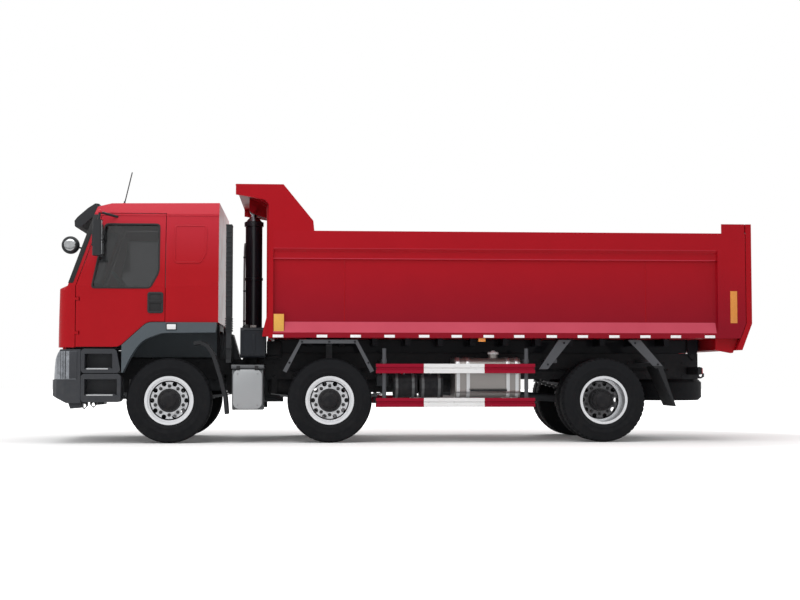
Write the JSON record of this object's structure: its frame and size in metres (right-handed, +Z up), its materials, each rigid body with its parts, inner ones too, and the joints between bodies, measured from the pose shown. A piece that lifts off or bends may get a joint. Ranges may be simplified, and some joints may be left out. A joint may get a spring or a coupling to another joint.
{
  "type": "three-axle dump truck",
  "caption": "Red cab-over tipper truck with twin steered front axles, a twin-tyred driven axle, tilting cab, opening doors and a tipping bed raised by a front hoist.",
  "frame": {"origin": "on the ground, in the middle of the truck's length and width", "axes": "+X forward, +Y to the truck's left, +Z up"},
  "size_m": [8.9798, 2.94, 3.4136],
  "materials": {
    "red_paint": "gloss enamel",
    "dark_plastic": "moulded grain",
    "grey_plastic": "moulded grain",
    "chassis_paint": "satin paint",
    "grey_paint": "satin paint",
    "engine_iron": "bare casting",
    "aluminium": "satin",
    "wheel_silver": "silver paint",
    "tyre": "matt",
    "glass": "clear",
    "lamp": "clear over reflector",
    "seat_cloth": "woven",
    "rod_steel": "polished",
    "guard_paint": "red and white paint"
  },
  "bodies": {
    "chassis": {"frame": "chassis_paint", "cab_rest": "chassis_paint", "tow_lugs": "chassis_paint", "subframe": "chassis_paint", "drive_line": "engine_iron", "front_bumper": "dark_plastic", "headlamps": "lamp", "cab_steps": "dark_plastic", "fuel_tank": "aluminium", "battery_box": "grey_paint", "hydraulic_tank": "chassis_paint", "air_tanks": "chassis_paint", "silencer": "aluminium", "side_guards": "guard_paint", "mudguards": "grey_plastic", "spare_wheel": "tyre", "rear_lamp_bar": "chassis_paint", "intake_stack": "dark_plastic", "axles": "chassis_paint", "leaf_springs": "chassis_paint"},
    "cab": {"cab_floor": "chassis_paint", "cab_shell": "red_paint", "cab_front_panel": "red_paint", "cab_roof": "red_paint", "windscreen": "glass", "arch_flares": "grey_plastic", "sun_visor": "dark_plastic", "seats": "seat_cloth", "dashboard": "dark_plastic", "cab_fittings": "dark_plastic"},
    "door_left": {"door_left": "red_paint", "door_glass_left": "glass", "mirror_left": "dark_plastic"},
    "door_right": {"door_right": "red_paint", "door_glass_right": "glass", "mirror_right": "dark_plastic"},
    "bed": {"bed_floor": "red_paint", "bed_sides": "red_paint", "bed_front_wall": "red_paint"},
    "tailgate": {"tailgate": "red_paint"},
    "hoist_barrel": {"hoist_barrel": "chassis_paint"},
    "hoist_stage_1": {"hoist_stage_1": "rod_steel"},
    "hoist_stage_2": {"hoist_stage_2": "rod_steel"},
    "hoist_stage_3": {"hoist_stage_3": "rod_steel"},
    "knuckle_1_left": {"knuckle_1_left": "chassis_paint"},
    "wheel_1_left": {"wheel_1_left": "wheel_silver", "tyre_1_left": "tyre"},
    "knuckle_1_right": {"knuckle_1_right": "chassis_paint"},
    "wheel_1_right": {"wheel_1_right": "wheel_silver", "tyre_1_right": "tyre"},
    "knuckle_2_left": {"knuckle_2_left": "chassis_paint"},
    "wheel_2_left": {"wheel_2_left": "wheel_silver", "tyre_2_left": "tyre"},
    "knuckle_2_right": {"knuckle_2_right": "chassis_paint"},
    "wheel_2_right": {"wheel_2_right": "wheel_silver", "tyre_2_right": "tyre"},
    "wheel_3_left": {"wheel_3_left": "wheel_silver", "tyre_3_left": "tyre"},
    "wheel_3_right": {"wheel_3_right": "wheel_silver", "tyre_3_right": "tyre"}
  },
  "joints": [
    {"name": "bed_tip", "type": "hinge", "parent": "chassis", "child": "bed", "pos_m": [-3.93, 0, 1.09], "axis": [0, -1, 0], "range_deg": [0, 45]},
    {"name": "tailgate_swing", "type": "hinge", "parent": "bed", "child": "tailgate", "pos_m": [-4.19, 0, 2.715], "axis": [0, 1, 0], "range_deg": [0, 60]},
    {"name": "hoist_swing", "type": "hinge", "parent": "chassis", "child": "hoist_barrel", "pos_m": [1.878, 0, 1.3], "axis": [0, -1, 0], "range_deg": [0, 30.31]},
    {"name": "cab_tilt", "type": "hinge", "parent": "chassis", "child": "cab", "pos_m": [4.13, 0, 0.92], "axis": [0, 1, 0], "range_deg": [0, 50]},
    {"name": "hoist_slide_1", "type": "slide", "parent": "hoist_barrel", "child": "hoist_stage_1", "axis": [0, 0, 1], "range_m": [0, 1.4567]},
    {"name": "hoist_slide_2", "type": "slide", "parent": "hoist_stage_1", "child": "hoist_stage_2", "axis": [0, 0, 1], "range_m": [0, 1.4567]},
    {"name": "hoist_slide_3", "type": "slide", "parent": "hoist_stage_2", "child": "hoist_stage_3", "axis": [0, 0, 1], "range_m": [0, 1.4567]},
    {"name": "door_left_swing", "type": "hinge", "parent": "cab", "child": "door_left", "pos_m": [3.996, 1.208, 1.58], "axis": [0, 0, -1], "range_deg": [0, 70]},
    {"name": "door_right_swing", "type": "hinge", "parent": "cab", "child": "door_right", "pos_m": [3.996, -1.208, 1.58], "axis": [0, 0, 1], "range_deg": [0, 70]},
    {"name": "steer_1_left", "type": "hinge", "parent": "chassis", "child": "knuckle_1_left", "pos_m": [2.874, 0.93, 0.53], "axis": [0, 0, 1], "range_deg": [-35, 35]},
    {"name": "steer_1_right", "type": "hinge", "parent": "chassis", "child": "knuckle_1_right", "pos_m": [2.874, -0.93, 0.53], "axis": [0, 0, 1], "range_deg": [-35, 35]},
    {"name": "steer_2_left", "type": "hinge", "parent": "chassis", "child": "knuckle_2_left", "pos_m": [0.881, 0.93, 0.53], "axis": [0, 0, 1], "range_deg": [-22.4, 22.4]},
    {"name": "steer_2_right", "type": "hinge", "parent": "chassis", "child": "knuckle_2_right", "pos_m": [0.881, -0.93, 0.53], "axis": [0, 0, 1], "range_deg": [-22.4, 22.4]},
    {"name": "spin_1_left", "type": "hinge", "parent": "knuckle_1_left", "child": "wheel_1_left", "pos_m": [2.874, 1, 0.53], "axis": [0, 1, 0], "continuous": true},
    {"name": "spin_1_right", "type": "hinge", "parent": "knuckle_1_right", "child": "wheel_1_right", "pos_m": [2.874, -1, 0.53], "axis": [0, 1, 0], "continuous": true},
    {"name": "spin_2_left", "type": "hinge", "parent": "knuckle_2_left", "child": "wheel_2_left", "pos_m": [0.881, 1, 0.53], "axis": [0, 1, 0], "continuous": true},
    {"name": "spin_2_right", "type": "hinge", "parent": "knuckle_2_right", "child": "wheel_2_right", "pos_m": [0.881, -1, 0.53], "axis": [0, 1, 0], "continuous": true},
    {"name": "spin_3_left", "type": "hinge", "parent": "chassis", "child": "wheel_3_left", "pos_m": [-2.579, 1, 0.53], "axis": [0, 1, 0], "continuous": true},
    {"name": "spin_3_right", "type": "hinge", "parent": "chassis", "child": "wheel_3_right", "pos_m": [-2.579, -1, 0.53], "axis": [0, 1, 0], "continuous": true}
  ],
  "couplings": [
    {"joint": "hoist_swing", "follows": "bed_tip", "ratio": 0.67334},
    {"joint": "hoist_slide_1", "follows": "bed_tip", "m_per_rad": 1.8541},
    {"joint": "hoist_slide_2", "follows": "bed_tip", "m_per_rad": 1.8541},
    {"joint": "hoist_slide_3", "follows": "bed_tip", "m_per_rad": 1.8541},
    {"joint": "steer_1_right", "follows": "steer_1_left", "ratio": 1},
    {"joint": "steer_2_left", "follows": "steer_1_left", "ratio": 0.64},
    {"joint": "steer_2_right", "follows": "steer_1_left", "ratio": 0.64}
  ]
}
